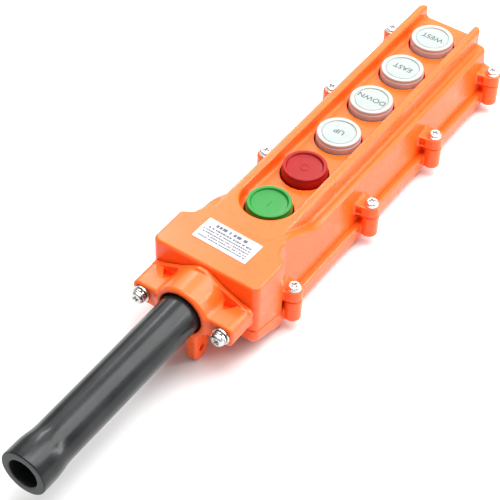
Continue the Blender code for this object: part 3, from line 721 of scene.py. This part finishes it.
def build_label_film():
    """The printed film on the head, set on a little askew."""
    c, s = math.cos(LABEL_TURN), math.sin(LABEL_TURN)

    def film(x, y, z):
        a, b = x - LABEL_CENTRE[0], y - LABEL_CENTRE[1]
        outline = tile(a * c + b * s, b * c - a * s, *LABEL_HALF, 0.5)
        return both(outline, between(z, TOP_Z - 0.17, TOP_Z + 0.27), 0.08)

    points, quads, normals = skin(film, (-18, -43.6, 50.6), (18, -25.4, 51.5),
                                  (0.4, 0.4, 0.15))
    made = piece("label_film", points, quads, PAPER, normals)
    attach(made, ROOT)
    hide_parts("label_plate")


def build_label_lines():
    """Generic lines of print: short blocks of random length, with word gaps."""
    rows = (        # place across the label, height, start and end
        (-5.0, 2.0, -9.0, 9.0), (-2.2, 1.2, -13.5, 13.5), (-0.2, 0.9, -14.5, 14.5),
        (1.6, 0.9, -14.5, 14.0), (3.4, 0.9, -14.5, 9.0), (5.2, 0.9, -14.5, 14.5))
    rng = np.random.default_rng(7)
    c, s = math.cos(LABEL_TURN), math.sin(LABEL_TURN)
    points, faces = [], []
    for v, height, start, end in rows:
        u = start
        while u < end:
            length = rng.uniform(0.5, 1.5) * height
            n = len(points)
            for z in (TOP_Z + 0.25, TOP_Z + 0.30):
                for du, dv in ((0, 0), (length, 0), (length, height), (0, height)):
                    pu, pv = -(u + du), -(v + dv - height / 2)
                    points.append((LABEL_CENTRE[0] + pu * c - pv * s,
                                   LABEL_CENTRE[1] + pu * s + pv * c, z))
            faces += [[n, n + 1, n + 2, n + 3], [n + 4, n + 5, n + 6, n + 7]]
            for i in range(4):
                j = (i + 1) % 4
                faces.append([n + i, n + j, n + j + 4, n + i + 4])
            u += length + height * (0.25 if rng.random() < 0.78 else 0.8)
    made = outward(piece("label_lines", np.array(points), faces, PRINT))
    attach(made, ROOT)


def finish_inner_nodes():
    """Give the CAD's own nodes that stay in view the materials of this scene."""
    shades = {"black_rubber": SEAL, "spring_steel": SPRING, "contact_brass": BRASS,
              "grey_plastic": GREY, "white_plastic": NATURAL, "zinc_steel": ZINC,
              "orange_plastic": ORANGE, "green_button": GREEN, "red_button": RED,
              "white_button": WHITE, "white_label": PAPER}
    slots = {part["node"]: part["material_slot"] for part in frame["record"]["subparts"]}
    for node, slot in slots.items():
        thing = bpy.data.objects.get(node)
        if thing:
            for place in thing.material_slots:
                place.material = shades[slot]


def press_springs():
    """Give each button's return spring its own copy of its mesh."""
    for i, (name, *_) in enumerate(BUTTONS):
        spring = bpy.data.objects[f"{name}_return_spring"]
        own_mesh(spring)


# ---- stage --------------------------------------------------------------------------
def build_floor():
    mesh = bpy.data.meshes.new("floor")
    half = 6.0
    mesh.from_pydata([(-half, -half, 0), (half, -half, 0), (half, half, 0), (-half, half, 0)],
                     [], [(0, 1, 2, 3)])
    floor = bpy.data.objects.new("floor", mesh)
    bpy.context.collection.objects.link(floor)
    s = Shader("pale_floor", (0.7, 0.7, 0.7), 0.7)
    s.vary("Roughness", s.noise(3.0, 2.0), 0.66, 0.74)
    mesh.materials.append(s.material)


LIGHTS = (      # name, place, aim's y and z, size in metres, watts
    ("key", (0.55, 0.55, 1.1), 0.02, 0.0, (0.9, 0.9), 18.0),
    ("top", (0.0, 0.0, 1.4), 0.0, 0.0, (0.9, 0.9), 22.0),
    ("right", (0.99, 0.77, 0.36), 0.0, 0.02, (0.14, 0.9), 7.5),
    ("left", (-0.74, 0.76, 0.77), 0.0, 0.02, (0.12, 0.8), 3.5),
    ("back", (-0.55, 0.95, 0.95), 0.0, 0.0, (1.6, 1.2), 12.0),
)


def add_light(name, place, target, size, power):
    data = bpy.data.lights.new(name, "AREA")
    data.shape = "RECTANGLE"
    data.size, data.size_y = size
    data.energy = power
    light = bpy.data.objects.new(name, data)
    bpy.context.collection.objects.link(light)
    light.location = place
    way = Vector(target) - Vector(place)
    light.rotation_euler = way.to_track_quat("-Z", "Y").to_euler()


def build_lights():
    bpy.context.scene.view_settings.view_transform = "Standard"
    world = bpy.data.worlds.new("studio")
    bpy.context.scene.world = world
    world.use_nodes = True
    world.node_tree.nodes["Background"].inputs["Color"].default_value = (1.0, 1.0, 1.0, 1.0)
    world.node_tree.nodes["Background"].inputs["Strength"].default_value = 0.4
    for name, place, target_y, target_z, size, power in LIGHTS:
        add_light(name, place, (0.0, target_y, target_z), size, power)


def build_camera():
    turn, height, roll = (math.radians(v) for v in CAMERA_ANGLES)
    c, s = math.cos(turn), math.sin(turn)
    right = Vector((c, s, 0.0))
    back = Vector((math.cos(height) * s, -math.cos(height) * c, math.sin(height)))
    up = back.cross(right)
    c, s = math.cos(roll), math.sin(roll)
    right, up = right * c + up * s, up * c - right * s
    data = bpy.data.cameras.new("camera")
    data.lens, data.sensor_width = CAMERA_LENS, 36.0
    data.clip_start, data.clip_end = 0.01, 50.0
    camera = bpy.data.objects.new("camera", data)
    bpy.context.collection.objects.link(camera)
    camera.matrix_world = Matrix.Translation(CAMERA_PLACE) @ Matrix(
        (right, up, back)).transposed().to_4x4()
    bpy.context.scene.camera = camera


build_mouldings()
build_sleeve()
for order, (button, look, top) in enumerate(BUTTONS):
    build_cap(button, look, top, FIRST_BUTTON_Y + order * PITCH)
build_fasteners()
build_label_film()
build_label_lines()
finish_inner_nodes()
press_springs()
build_floor()
build_lights()
build_camera()
